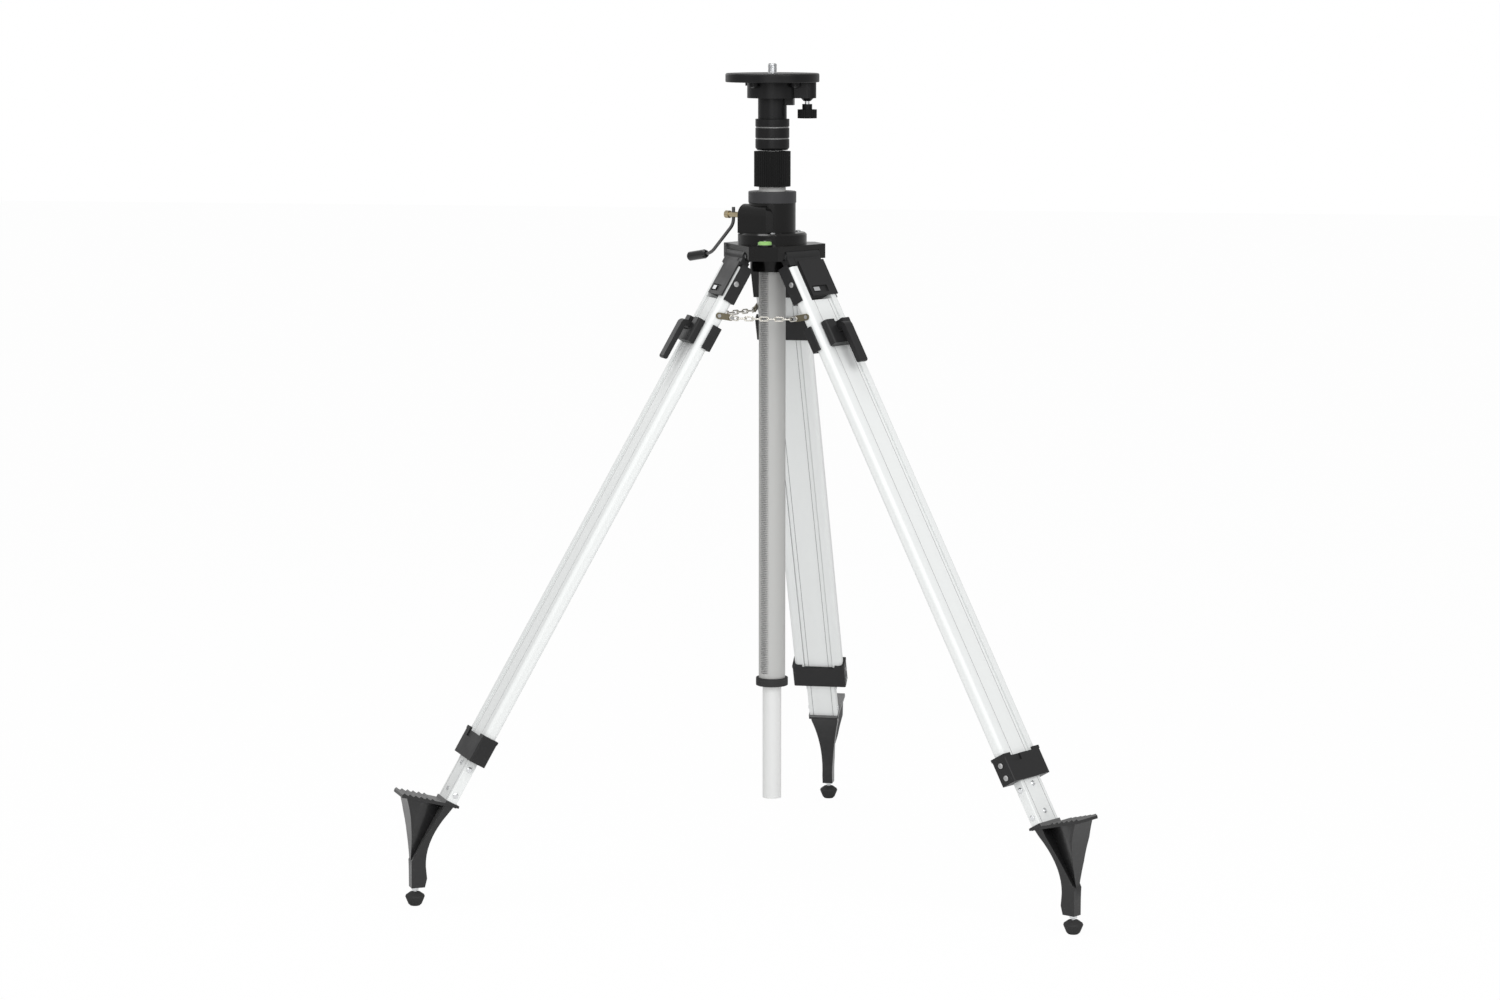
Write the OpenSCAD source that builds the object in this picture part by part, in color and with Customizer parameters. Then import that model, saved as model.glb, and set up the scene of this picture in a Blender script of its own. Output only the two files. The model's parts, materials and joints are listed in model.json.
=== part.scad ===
// Elevating tripod for a measuring instrument: three clamped legs on a cast crown, a toothed
// column raised by a crank, a sliding mast inside it, and a flat head with a captive stud.
// Millimetres, +Z up. The origin is the centre of the head plate's top face, on the stud's axis.

/* [Head] */
// Diameter of the head plate
plate_d = 160; // [150:1:180]
// Thickness of the head plate
plate_t = 15; // [12:0.5:18]
// Outer diameter of the stud's thread
stud_d = 15.875; // [14.5:0.125:17]
// Height of the stud above the plate
stud_h = 16.5; // [12:0.5:20]
// Radius of the gear case round the stud
case_r = 43; // [41:0.5:46]
// Height of the gear case
case_h = 27; // [25:0.5:32]
// Thickness of the gear case's floor
case_floor = 5; // [4:0.5:7]
// Wall of the gear case
case_wall = 3; // [2.5:0.25:5]
// Module of the head's gears
head_module = 1.5; // [1.4:0.05:1.6]
// Teeth on the stud's gear
stud_teeth = 34; // [32:1:36]
// Teeth on the idler gear
idler_teeth = 16; // [16:1:18]
// Teeth on the knob's gear
knob_teeth = 14; // [14:1:15]
// Height of the head's gears
head_gear_h = 10; // [8:0.5:12]
// Diameter of the knob
knob_d = 33; // [28:1:38]
// Height of the knob's grip
knob_h = 15; // [12:0.5:18]
// Drop from the gear case to the top of the knob's grip
knob_drop = 19; // [17:0.5:22]
// Diameter of the knob's shaft
knob_shaft_d = 8; // [6:0.5:10]
// Diameter of the neck under the gear case
neck_d = 49; // [44:0.5:54]
// Height of the neck
neck_h = 35; // [28:1:45]
// Diameter of the pivot that carries the head
pivot_d = 24; // [18:1:26]
// Length of the pivot below the neck
pivot_h = 26; // [18:1:32]

/* [Mast] */
// Outer diameter of the mast's tube
mast_d = 32.4; // [30:0.2:33]
// Wall of the mast's tube
mast_wall = 2.2; // [1.5:0.1:2.8]
// Length of tube below the adapter
mast_length = 1125; // [950:5:1150]
// Diameter of the adapter at the top of the mast
adapter_d = 58; // [52:0.5:62]
// Height of the adapter
adapter_h = 53; // [48:1:60]

/* [Column] */
// Outer diameter of the toothed column
column_d = 46; // [45:0.25:47]
// Wall of the column
column_wall = 5; // [4.5:0.1:5.5]
// Length of the column
column_length = 898; // [850:1:960]
// Module of the rack
rack_module = 1; // [0.9:0.05:1.1]
// Teeth on the pinion
pinion_teeth = 16; // [15:1:17]
// Width of the pinion
pinion_w = 18; // [14:1:20]
// Diameter of the knurled collar
collar_d = 62.5; // [58:0.5:66]
// Height of the knurled collar
collar_h = 60; // [50:1:66]
// Number of ridges round the knurled collar and the knob
ridge_count = 48; // [36:2:60]
// Depth of the ridges
ridge_depth = 0.9; // [0.5:0.1:1.2]
// Diameter of the rubber ring at the foot of the column
ring_d = 55.6; // [52:0.2:60]
// Height of that ring
ring_h = 14; // [10:0.5:18]

/* [Crank] */
// Diameter of the crank's shaft
shaft_d = 9.6; // [8:0.1:10]
// Length of shaft outside the boss
shaft_out = 42; // [36:0.5:46]
// Diameter of the shaft's head
shaft_head_d = 13; // [11.5:0.5:15]
// Diameter of the crank's rod
rod_d = 6; // [5:0.25:6.5]
// Drop from the shaft to the grip
crank_drop = 73; // [64:1:80]
// Reach of the rod from the cross hole to the grip
crank_reach = 61; // [54:1:68]
// Length of rod taken up by each side of a bend
rod_bend = 10; // [8:0.5:10.5]
// Length of the grip
grip_l = 40; // [34:1:50]
// Diameter of the grip
grip_d = 16; // [12:0.5:18]

/* [Housing] */
// Diameter of the housing's cap
cap_d = 82; // [80:0.5:88]
// Height of the cap
cap_h = 20; // [17:0.5:24]
// Diameter of the housing
housing_d = 80; // [76:0.5:80]
// Height of the housing between cap and flange
housing_h = 50; // [46:0.5:58]
// Radius of the arched boss round the pinion
boss_r = 19.5; // [17:0.25:21]
// Length of the boss on the crank's side of the pinion
boss_near = 36; // [33:0.5:40]
// Length of the boss on the far side of the pinion
boss_far = 27; // [24:0.5:29]
// Diameter of the flange
flange_d = 118; // [112:1:122]
// Height of the flange
flange_h = 20; // [16:0.5:24]
// Diameter of the round bubble vial
vial_d = 24; // [20:0.5:26]
// Height of the vial
vial_h = 9; // [7:0.5:11]

/* [Crown] */
// Height of the crown
crown_h = 46; // [42:0.5:48]
// Thickness of the crown's top plate
crown_plate_t = 10; // [9:0.5:12]
// Height of the lugs that hold the hinge pins, from the crown's top
lug_h = 24.5; // [23:0.5:28]
// Distance from the axis to the sides over the legs
leg_side = 65.6; // [65:0.2:70]
// Distance from the axis to the sides between the legs
gap_side = 87.5; // [86:0.5:90]
// Radius of the hub round the column
hub_r = 38; // [34:0.5:40]
// Distance of the hinge pins from the axis
hinge_r = 60; // [59:0.25:61]
// Drop from the crown's top to the hinge pins
hinge_drop = 17.7; // [17:0.1:19]
// Diameter of the hinge pins
pin_d = 7; // [5:0.25:7.5]
// Radius of the hinge barrel
barrel_r = 10; // [8.5:0.25:10.5]
// Width of the hinge barrel
barrel_w = 87; // [84:0.5:88]

/* [Legs] */
// Angle of the spread legs from the column
spread = 30.2; // [27:0.1:31]
// Distance from the hinge pin in to the middle of the leg's thickness
leg_inset = 3.8; // [3:0.1:5]
// Width over both rails
leg_w = 90; // [88:0.5:91]
// Width of one rail
rail_w = 18; // [16:0.25:19]
// Thickness of the rails
rail_t = 22; // [20.5:0.25:23]
// Wall of the rails
rail_wall = 2; // [1.5:0.1:3]
// Distance along the leg from the hinge to the end of the rails
rail_end = 966; // [900:1:968]
// Thickness of the lower leg
lower_t = 18; // [17:0.25:19]
// Distance along the leg from the hinge to the top of the lower leg
lower_top = 86; // [84:1:96]
// Distance along the leg from the hinge to the foot
lower_end = 1049; // [1035:1:1060]
// Wall of the lower leg
lower_wall = 2; // [1.5:0.1:2.5]
// Distance along the leg from the hinge to the end of the bracket's cover
cover_end = 80; // [74:1:82]
// Length of the collar at the end of the rails
sleeve_l = 44; // [38:1:50]
// Wall of that collar
sleeve_wall = 4; // [3:0.25:5]
// Distance along the leg from the hinge to the chain's eye plates
eye_at = 112; // [108:0.5:113]
// Reach of the eye plates from the middle of the leg
eye_reach = 22; // [19:0.5:24]

/* [Clamps] */
// Distance along the leg from the hinge to the clamp's upper edge
clamp_top = 130; // [121:1:136]
// Length of the clamp along the leg
clamp_l = 44; // [40:1:50]
// Height of the clamp's block above the rails
block_h = 14; // [12:0.5:17]
// Width of the clamp's block
block_w = 66; // [56:1:76]
// Wall of the clamp's yoke
yoke_wall = 4; // [3:0.25:5]
// Length of the lever's arm
lever_l = 88; // [76:1:94]
// Width of the lever
lever_w = 20; // [16:0.5:24]
// Thickness of the lever's arm
lever_t = 9; // [7:0.5:10]
// Diameter of the lever's pin
lever_pin_d = 6; // [5:0.25:7]

/* [Feet] */
// Height of the foot's underside above the floor
foot_clear = 31; // [28:0.5:36]
// Distance of the pad inward from the middle of the leg
pad_inset = 38.6; // [36:0.2:40]
// Distance along the leg from the lower leg's end to the floor
foot_drop = 182.9; // [178:0.5:190]
// Diameter of the rubber pad
pad_d = 33; // [28:0.5:36]
// Height of the rubber pad
pad_h = 23; // [20:0.5:25]
// Diameter of the pad's flat underside
pad_sole_d = 17; // [12:0.5:20]
// Diameter of the foot's stud
foot_stud_d = 7; // [5:0.25:8]
// Width of the tread plate
tread_w = 54; // [46:1:58]
// Thickness of the tread plate
tread_t = 5; // [4:0.25:6]

/* [Chain] */
// Diameter of the chain's wire
wire_d = 2.5; // [2:0.1:2.8]
// Inner length of a link
link_l = 13.4; // [12.5:0.1:14]
// Inner width of a link
link_w = 4; // [3.6:0.1:5]

/* [Fits] */
// Radial clearance of shafts and sliding tubes
run_gap = 0.06; // [0.03:0.01:0.1]
// Clearance between moving pieces
part_gap = 0.35; // [0.3:0.05:0.5]

/* [Hidden] */
$fn = 64;
KEYS = ["rear", "left", "right"];
AZIMUTHS = [90, 210, 330];
CHAIN_AZIMUTHS = [270, 150, 30];
eps = 0.5;

// Levels down the axis, from the plate's top face
adapter_gap = 2;
cap_gap = 8;
case_top = -plate_t;
case_bottom = case_top - case_h;
neck_bottom = case_bottom - neck_h;
adapter_top = neck_bottom - part_gap;
adapter_bottom = neck_bottom - adapter_h;
mast_bottom = adapter_bottom - mast_length;
collar_top = adapter_bottom - adapter_gap;
collar_bottom = collar_top - collar_h;
cap_top = collar_bottom - cap_gap;
cap_bottom = cap_top - cap_h;
housing_bottom = cap_bottom - housing_h;
crown_top = housing_bottom - flange_h;
crown_bottom = crown_top - crown_h;
lug_bottom = crown_top - lug_h;
hinge_z = crown_top - hinge_drop;

// Column and rack
column_r = column_d / 2;
column_bore_r = column_r - column_wall;
collet_room = 26;
column_top = collar_top - collet_room;
column_bottom = column_top - column_length;
ring_top = column_bottom + ring_h;
rack_pitch = PI * rack_module;
rack_root = 1.25 * rack_module;
pinion_r = rack_module * pinion_teeth / 2;
pinion_offset = column_r - rack_module + pinion_r;
boss_gap = 1.5;
pinion_z = cap_bottom - boss_r - boss_gap;
crank_az = 150;
rack_az = crank_az + 90;
rack_lead = 5;
rack_margin = 4;
rack_over = 0.6;
spine_over = 3;
rack_top = pinion_z + rack_lead * rack_pitch;
rack_count = floor((rack_top - ring_top - rack_margin) / rack_pitch);
bush_wall = 3;
guide_r = column_r + bush_wall;

// Gears of the head, in line from the stud to the knob
idler_x = head_module * (stud_teeth + idler_teeth) / 2;
knob_x = idler_x + head_module * (idler_teeth + knob_teeth) / 2;
knob_tip_r = head_module * (knob_teeth / 2 + 1);
idler_tip_r = head_module * (idler_teeth / 2 + 1);
chamber_floor = case_bottom + case_floor;
gear_z = chamber_floor + part_gap;
stud_shank_r = stud_d / 2 - 1;
stud_seat = 0.6;
stud_moat = 1.5;
journal_r = 4;

// Leg frame: X out of the leg's face, Y across it, Z up along it, origin on the hinge pin
leg_face = rail_t / 2 - leg_inset;
leg_back = -rail_t / 2 - leg_inset;
rail_x = -leg_inset;
rail_inner = leg_w / 2 - rail_w;
lower_w = 2 * (rail_inner - part_gap);
cheek_t = 3;
cheek_top = 16;
lever_x = leg_face + part_gap + block_h;
lever_from_top = 18;
lever_at = clamp_top + lever_from_top;

// Fasteners
screw_over = 1;
drill_over = 1.5;
screw_r = 2.4;
head_r = 4.6;
head_t = 2;

// Shared shapes

// Ring between two levels
module ring(r_out, r_in, z0, z1) {
    translate([0, 0, z0])
        difference() {
            cylinder(r = r_out, h = z1 - z0);
            translate([0, 0, -eps]) cylinder(r = r_in, h = z1 - z0 + 2 * eps);
        }
}

// Plain cylinder between two levels
module rod(r, z0, z1) {
    translate([0, 0, z0]) cylinder(r = r, h = z1 - z0);
}

// Box from one corner to the other
module block(low, high) {
    translate(low) cube(high - low);
}

// Rectangle with rounded corners
module round_rect(low, high, r) {
    size = high - low;
    translate([low.x, low.y + r]) square([size.x, size.y - 2 * r]);
    translate([low.x + r, low.y]) square([size.x - 2 * r, size.y]);
    for (x = [low.x + r, high.x - r], y = [low.y + r, high.y - r])
        translate([x, y]) circle(r = r, $fn = 32);
}

// Disc whose rim is cut into ridges
module ridged_disc(d, count, depth) {
    step = 360 / count;
    polygon([
        for (i = [0 : count - 1], k = [[0, 0], [0.3, 0], [0.5, depth], [0.8, depth]])
            (d / 2 - k[1]) * [cos((i + k[0]) * step), sin((i + k[0]) * step)]
    ]);
}

// Points on a curve drawn from a to c towards b
function bend(a, b, c, n) = [
    for (i = [0 : n])
        let (t = i / n)
        (1 - t) * (1 - t) * a + 2 * t * (1 - t) * b + t * t * c
];

// Involute gear, one tooth on +X
pressure_angle = 20;
backlash = 0.12;
function involute(base, r) = r <= base ? 0 : tan(acos(base / r)) * 180 / PI - acos(base / r);
function tooth_half(m, teeth, r) =
    let (pitch_r = m * teeth / 2, base = pitch_r * cos(pressure_angle))
    90 / teeth - backlash / pitch_r * 90 / PI + involute(base, pitch_r) - involute(base, r);
function flank_radii(m, teeth) =
    let (pitch_r = m * teeth / 2, base = pitch_r * cos(pressure_angle), root = pitch_r - 1.25 * m)
    let (start = max(base, root + 0.01), tip = pitch_r + m)
    concat(root < base ? [root] : [], [for (i = [0 : 3]) start + (tip - start) * i / 3]);
function gear_points(m, teeth) =
    let (radii = flank_radii(m, teeth), last = len(radii) - 1)
    [
        for (i = [0 : teeth - 1], side = [-1, 1], k = [0 : last])
            let (r = radii[side < 0 ? k : last - k])
            let (a = i * 360 / teeth + side * tooth_half(m, teeth, r))
            r * [cos(a), sin(a)]
    ];
module gear(m, teeth, h, bore_r) {
    linear_extrude(height = h)
        difference() {
            polygon(gear_points(m, teeth));
            circle(r = bore_r);
        }
}

// Screw standing on z = 0 with its head above and its shank below
module screw(length) {
    rod(screw_r, -length, 0);
    difference() {
        union() {
            rod(head_r, 0, head_t * 0.6);
            translate([0, 0, head_t * 0.6]) cylinder(r1 = head_r, r2 = head_r * 0.7, h = head_t * 0.4);
        }
        for (a = [0, 90])
            rotate([0, 0, a]) block([-head_r * 0.5, -0.6, head_t - 1], [head_r * 0.5, 0.6, head_t + eps]);
    }
}

// Drilled hole for that screw, from z = 0 down
screw_hole_r = screw_r + 0.1;
module screw_hole(length) {
    rod(screw_hole_r, -length, eps);
}

// Head

head_screw_r = 50;
head_screw_azimuths = [60, 150, 240, 330];
ear_r = 8;
ear_h = 7;
plate_screw_depth = 8;
plate_rim = 3;
plate_edge = 1;
axle_seat = 4;
axle_end = case_top + axle_seat - part_gap;
case_end_r = knob_tip_r + part_gap + case_wall;
stop_block_x = 37;
stop_block_w = 18;
stop_block_h = 12;
knob_cone_h = 5;
knob_cone_r = 11;
knob_hub_r = 8.5;
knob_hub_h = 9;
knob_skin = 3;
knob_top = case_bottom - knob_drop;
stud_journal_r = 5;
stud_journal_h = 9;
stud_chamfer = 1.5;

module at_head_screws() {
    for (a = head_screw_azimuths)
        rotate([0, 0, a]) translate([head_screw_r, 0, case_top - ear_h]) rotate([180, 0, 0]) children();
}

module head_plate() {
    rim_centre = [plate_d / 2 - plate_rim, -plate_rim];
    rim = [for (a = [90 : -15 : 0]) rim_centre + plate_rim * [cos(a), sin(a)]];
    under = [[plate_d / 2, plate_edge - plate_t], [plate_d / 2 - plate_edge, -plate_t], [0, -plate_t]];
    color("#1c1c1d")
        difference() {
            rotate_extrude($fn = 128)
                polygon(concat([[0, 0]], rim, under));
            rod(stud_shank_r + run_gap, -plate_t - eps, eps);
            rod(stud_d / 2 + stud_moat, -stud_seat, eps);
            for (x = [idler_x, knob_x])
                translate([x, 0, 0]) rod(journal_r + run_gap, case_top - eps, case_top + axle_seat);
            at_head_screws() screw_hole(ear_h + plate_screw_depth + part_gap);
        }
}

module head_base() {
    color("#1a1a1b")
        difference() {
            union() {
                rod(case_r, case_bottom, case_top);
                block([0, -case_end_r, case_bottom], [knob_x, case_end_r, case_top]);
                translate([knob_x, 0, 0]) rod(case_end_r, case_bottom, case_top);
                translate([knob_x, 0, case_bottom - knob_cone_h])
                    cylinder(r1 = journal_r + 2, r2 = knob_cone_r, h = knob_cone_h);
                at_head_screws() rod(ear_r, -ear_h, 0);
                rod(neck_d / 2, neck_bottom, case_bottom);
                block([0, -stop_block_w / 2, case_bottom - stop_block_h],
                      [stop_block_x, stop_block_w / 2, case_bottom]);
                rod(pivot_d / 2, neck_bottom - pivot_h, neck_bottom);
            }
            rod(case_r - case_wall, chamber_floor, case_top + eps);
            translate([idler_x, 0, 0]) rod(idler_tip_r + part_gap, chamber_floor, case_top + eps);
            translate([knob_x, 0, 0]) rod(knob_tip_r + part_gap, chamber_floor, case_top + eps);
            rod(stud_journal_r + run_gap, chamber_floor - stud_journal_h - part_gap, chamber_floor + eps);
            translate([idler_x, 0, 0])
                rod(journal_r + run_gap, chamber_floor - axle_seat, chamber_floor + eps);
            translate([knob_x, 0, 0])
                rod(knob_shaft_d / 2 + run_gap, case_bottom - knob_cone_h - eps, chamber_floor + eps);
            at_head_screws() screw_hole(ear_h + eps);
        }
}

module head_screws() {
    color("#b9bcc0") at_head_screws() screw(ear_h + plate_screw_depth);
}

module instrument_stud() {
    color("#d0d2d4") {
        rod(stud_d / 2, -stud_seat / 2, stud_h - stud_chamfer);
        translate([0, 0, stud_h - stud_chamfer])
            cylinder(r1 = stud_d / 2, r2 = stud_d / 2 - stud_chamfer, h = stud_chamfer);
        rod(stud_shank_r, gear_z, -stud_seat / 2);
        rod(stud_journal_r, chamber_floor - stud_journal_h, gear_z);
    }
}

module stud_gear() {
    color("#b08d4a") translate([0, 0, gear_z]) gear(head_module, stud_teeth, head_gear_h, stud_shank_r);
}

// A tooth of each wheel points at a gap of the next
module idler_gear() {
    turn = 180 + 180 / idler_teeth;
    color("#b08d4a")
        translate([idler_x, 0, 0]) {
            translate([0, 0, gear_z])
                rotate([0, 0, turn]) gear(head_module, idler_teeth, head_gear_h, journal_r);
            rod(journal_r, chamber_floor - axle_seat + part_gap, axle_end);
        }
}

module knob_gear() {
    idler_tooth = idler_teeth % 2 == 0 ? 180 / idler_teeth : 0;
    color("#c4c6c8")
        translate([knob_x, 0, 0]) {
            translate([0, 0, gear_z])
                rotate([0, 0, 180 + 180 / knob_teeth - idler_tooth * idler_teeth / knob_teeth])
                    gear(head_module, knob_teeth, head_gear_h, journal_r);
            rod(journal_r, gear_z, axle_end);
            rod(knob_shaft_d / 2, knob_top - knob_h + knob_skin, gear_z);
        }
}

module drive_knob() {
    color("#151515")
        translate([knob_x, 0, 0])
            difference() {
                union() {
                    translate([0, 0, knob_top - knob_h])
                        linear_extrude(height = knob_h) ridged_disc(knob_d, ridge_count / 2, ridge_depth);
                    rod(knob_hub_r, knob_top, knob_top + knob_hub_h);
                }
                rod(knob_shaft_d / 2, knob_top - knob_h + knob_skin, knob_top + knob_hub_h + eps);
            }
}

// Mast

mast_r = mast_d / 2;
mast_seat = 18;
adapter_chamfer = 4;
groove_w = 2;
groove_depth = 1.2;
adapter_grooves = [13, 32];

module mast_adapter() {
    r = adapter_d / 2;
    color("#171718")
        difference() {
            union() {
                rod(r, adapter_bottom + adapter_chamfer, adapter_top);
                translate([0, 0, adapter_bottom])
                    cylinder(r1 = r - adapter_chamfer * 0.75, r2 = r, h = adapter_chamfer);
            }
            rod(pivot_d / 2 + run_gap, neck_bottom - pivot_h - part_gap, adapter_top + eps);
            rod(mast_r, adapter_bottom - eps, adapter_bottom + mast_seat);
            for (drop = adapter_grooves)
                ring(r + eps, r - groove_depth, adapter_top - drop - groove_w, adapter_top - drop);
        }
}

module inner_column() {
    color("#c2c5c7") ring(mast_r, mast_r - mast_wall, mast_bottom, adapter_bottom + mast_seat);
}

// Column

collet_gap = 0.5;
collar_lip = 4;
collet_top = collar_top - collar_lip - part_gap;
collet_r = column_r - 1;
collet_slit = 1.5;
collet_foot = 5;
guide_h = 20;

module outer_column() {
    function space(i, r) =
        let (half = rack_pitch / 4 + backlash / 2 + (r - column_r + rack_module) * tan(pressure_angle))
        let (z = rack_top - (rack_count - 1 - i) * rack_pitch)
        [z - half, z + half];
    root = column_r - rack_module - rack_root;
    edge = column_r + rack_over;
    teeth = [
        for (i = [0 : rack_count - 1])
            for (p = [[edge, space(i, edge)[0]], [root, space(i, root)[0]],
                      [root, space(i, root)[1]], [edge, space(i, edge)[1]]])
                p
    ];
    spine = column_r + spine_over;
    bottom = rack_top - rack_count * rack_pitch;
    color("#a9abac")
        difference() {
            ring(column_r, column_bore_r, column_bottom, column_top);
            rotate([0, 0, rack_az])
                rotate([90, 0, 0])
                    linear_extrude(height = column_d, center = true)
                        polygon(concat([[spine, bottom]], teeth, [[spine, rack_top + rack_pitch]]));
        }
}

module column_collet() {
    color("#d9d6cc") {
        difference() {
            ring(collet_r, mast_r + run_gap, column_top, collet_top);
            for (a = [0, 90])
                rotate([0, 0, a])
                    block([-column_r, -collet_slit / 2, column_top + collet_foot],
                          [column_r, collet_slit / 2, collet_top + eps]);
        }
        ring(column_bore_r, mast_r + run_gap, column_bottom, column_bottom + guide_h);
    }
}

module stop_ring() {
    color("#161616") ring(ring_d / 2, column_r, column_bottom, ring_top);
}

module clamp_collar() {
    color("#131313")
        difference() {
            translate([0, 0, collar_bottom])
                linear_extrude(height = collar_h) ridged_disc(collar_d, ridge_count, ridge_depth);
            rod(column_r + run_gap, collar_bottom - eps, column_top);
            rod(collet_r + collet_gap, column_top - eps, collar_top - collar_lip);
            rod(mast_r + part_gap, collar_top - collar_lip - eps, collar_top + eps);
        }
}

// Crank

pinion_x = pinion_offset * cos(rack_az);
pinion_y = pinion_offset * sin(rack_az);
hole_from_end = 16.5;
hole_at = boss_near + shaft_out - hole_from_end;
shaft_head_l = 8.5;
rod_tip = 13;
grip_tilt = 9.5;
grip_lift = 3.3;
grip_start = [hole_at + crank_reach, grip_lift - crank_drop];
grip_way = [cos(grip_tilt), -sin(grip_tilt)];
grip_lead = 10.5;
knee_drop = 16;
rod_in_grip = 0.75;
grip_wall_end = 0.6;
grip_neck = 0.38;
grip_taper = 4;
grip_end = 2;
grip_tip_r = grip_d / 2 - grip_end * 0.75;

// Z along the crank's shaft, away from the housing
module shaft_frame() {
    translate([pinion_x, pinion_y, pinion_z]) rotate([0, 0, crank_az]) rotate([0, 90, 0]) children();
}

// X along the crank's shaft, away from the housing, Y up
module crank_plane() {
    translate([pinion_x, pinion_y, pinion_z]) rotate([0, 0, crank_az]) rotate([90, 0, 0]) children();
}

// Round bar swept along the points of a plane path
bar_sides = 20;
module bent_bar(points, r) {
    last = len(points) - 1;
    ways = [
        for (i = [0 : last])
            let (way = points[min(i + 1, last)] - points[max(i - 1, 0)])
            way / norm(way)
    ];
    rings = [
        for (i = [0 : last], k = [0 : bar_sides - 1])
            let (a = 360 * k / bar_sides)
            [points[i].x - ways[i].y * r * cos(a), points[i].y + ways[i].x * r * cos(a), r * sin(a)]
    ];
    walls = [
        for (i = [0 : last - 1], k = [0 : bar_sides - 1], half = [0, 1])
            let (a = i * bar_sides + k, b = i * bar_sides + (k + 1) % bar_sides)
            half == 0 ? [a, a + bar_sides, b + bar_sides] : [a, b + bar_sides, b]
    ];
    caps = [
        [for (k = [0 : bar_sides - 1]) k],
        [for (k = [bar_sides - 1 : -1 : 0]) last * bar_sides + k]
    ];
    polyhedron(points = rings, faces = concat(walls, caps));
}

module crank_shaft() {
    shaft_end = boss_near + shaft_out;
    color("#b59a55")
        shaft_frame()
            difference() {
                union() {
                    rod(shaft_d / 2, boss_skin - boss_far, shaft_end);
                    rod(shaft_head_d / 2, shaft_end - shaft_head_l, shaft_end);
                }
                translate([0, 0, hole_at]) rotate([0, 90, 0]) rod(rod_d / 2, -shaft_d, shaft_d);
            }
}

module pinion_gear() {
    color("#b59a55")
        shaft_frame()
            rotate([0, 0, -90])
                translate([0, 0, -pinion_w / 2]) gear(rack_module, pinion_teeth, pinion_w, shaft_d / 2);
}

module crank_arm() {
    knee = [hole_at, -knee_drop];
    heel = grip_start - grip_lead * grip_way;
    slope = (heel - knee) / norm(heel - knee);
    upper_bend = bend(knee + [0, rod_bend], knee, knee + rod_bend * slope, 5);
    lower_bend = bend(heel - rod_bend * slope, heel, heel + rod_bend * grip_way, 5);
    tail = grip_start + grip_l * rod_in_grip * grip_way;
    color("#1d1d1d")
        crank_plane() bent_bar(concat([[hole_at, rod_tip]], upper_bend, lower_bend, [tail]), rod_d / 2);
}

module crank_grip() {
    color("#0f0f10")
        crank_plane()
            translate(grip_start)
                rotate([0, 0, -grip_tilt])
                    rotate([0, 90, 0])
                        difference() {
                            union() {
                                cylinder(r1 = grip_d * grip_neck, r2 = grip_d / 2, h = grip_taper);
                                rod(grip_d / 2, grip_taper, grip_l - grip_end);
                                translate([0, 0, grip_l - grip_end])
                                    cylinder(r1 = grip_d / 2, r2 = grip_tip_r, h = grip_end);
                            }
                            rod(rod_d / 2 + run_gap, -eps, grip_l * rod_in_grip + grip_wall_end);
                        }
}

// Housing and crown

flange_screw_r = 51;
flange_screw_azimuths = [40, 160, 280];
flange_screw_l = 24;
cap_lip = 4;
cap_edge = 1;
flange_edge = 3;
boss_skin = 3;
boss_over = 2;
boss_end_r = 22;
pinion_room = 0.7;
hub_floor = 2;
slot_w = barrel_w + 5;
washer_r = 6.5;
pin_skin = 1;
pin_half = (gap_side - hinge_r * cos(60) - pin_d / 2) / sin(60) - pin_skin;
vial_margin = 1.5;
vial_r = gap_side - vial_d / 2 - vial_margin;
vial_bevel = [3, 2];
vial_az = 270;
rib_w = 12;
rib_gap = 2;

module at_flange_screws() {
    for (a = flange_screw_azimuths)
        rotate([0, 0, a]) translate([flange_screw_r, 0, housing_bottom]) children();
}

// Boss from the side, X down and Y out along the shaft, its inner top corner rounded over
module boss_side() {
    top = -boss_r - boss_over;
    bottom = pinion_z - housing_bottom + boss_over;
    round_at = [top + boss_end_r, boss_end_r - boss_far];
    translate(round_at) circle(r = boss_end_r);
    translate([round_at.x, -boss_far]) square([bottom - round_at.x, boss_far + boss_near + boss_over]);
    translate([top, round_at.y]) square([boss_end_r + eps, boss_near + boss_over - round_at.y]);
}

module gear_housing() {
    chamber_half = pinion_w / 2 + pinion_room;
    color("#141415")
        difference() {
            union() {
                rod(housing_d / 2, housing_bottom - eps, cap_bottom);
                rod(flange_d / 2, crown_top, housing_bottom - flange_edge);
                translate([0, 0, housing_bottom - flange_edge])
                    cylinder(r1 = flange_d / 2, r2 = flange_d / 2 - flange_edge, h = flange_edge);
                shaft_frame()
                    intersection() {
                        translate([0, 0, -boss_far - boss_over])
                            linear_extrude(height = boss_far + boss_over + boss_near) {
                                circle(r = boss_r);
                                translate([0, -boss_r]) square([pinion_z - housing_bottom + eps, 2 * boss_r]);
                            }
                        rotate([90, 0, 0])
                            linear_extrude(height = 2 * (boss_r + boss_over), center = true) boss_side();
                    }
            }
            rod(guide_r, crown_top - eps, cap_bottom + eps);
            shaft_frame() {
                rod(pinion_r + rack_module + pinion_room, -chamber_half, chamber_half);
                rod(shaft_d / 2 + run_gap, boss_skin - boss_far - part_gap, boss_near + eps);
            }
            at_flange_screws() screw_hole(flange_h + eps);
        }
}

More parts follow.
